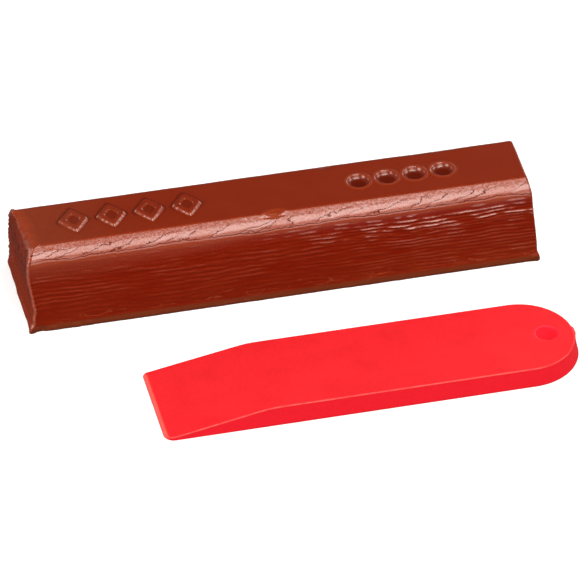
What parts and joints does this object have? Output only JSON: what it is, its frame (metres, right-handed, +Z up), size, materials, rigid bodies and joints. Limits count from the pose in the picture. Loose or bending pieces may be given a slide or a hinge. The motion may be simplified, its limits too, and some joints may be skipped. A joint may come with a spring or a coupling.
{
  "type": "furniture repair wax stick",
  "caption": "Cast bar of brown furniture filler wax with a flat top, sloped shoulders and a flared foot, beside its flat plastic spatula with a wedge tip and a hanging hole.",
  "frame": {"origin": "middle of the pair's box, on the surface that both pieces lie on", "axes": "+X along both pieces, from the spatula's wedge tip towards its round end; +Y from the spatula towards the bar; +Z up"},
  "size_m": [0.0944, 0.0572, 0.0162],
  "materials": {
    "wax": "cast hard wax, satin on top, glossy and rippled on the shoulders",
    "red_plastic": "satin moulded plastic"
  },
  "bodies": {
    "wax_bar": {"wax_bar": "wax"},
    "spatula": {"spatula": "red_plastic"}
  },
  "joints": [
    {"name": "spatula_lift", "type": "slide", "parent": "wax_bar", "child": "spatula", "axis": [0, 0, 1], "range_m": [0, 0.05]}
  ]
}
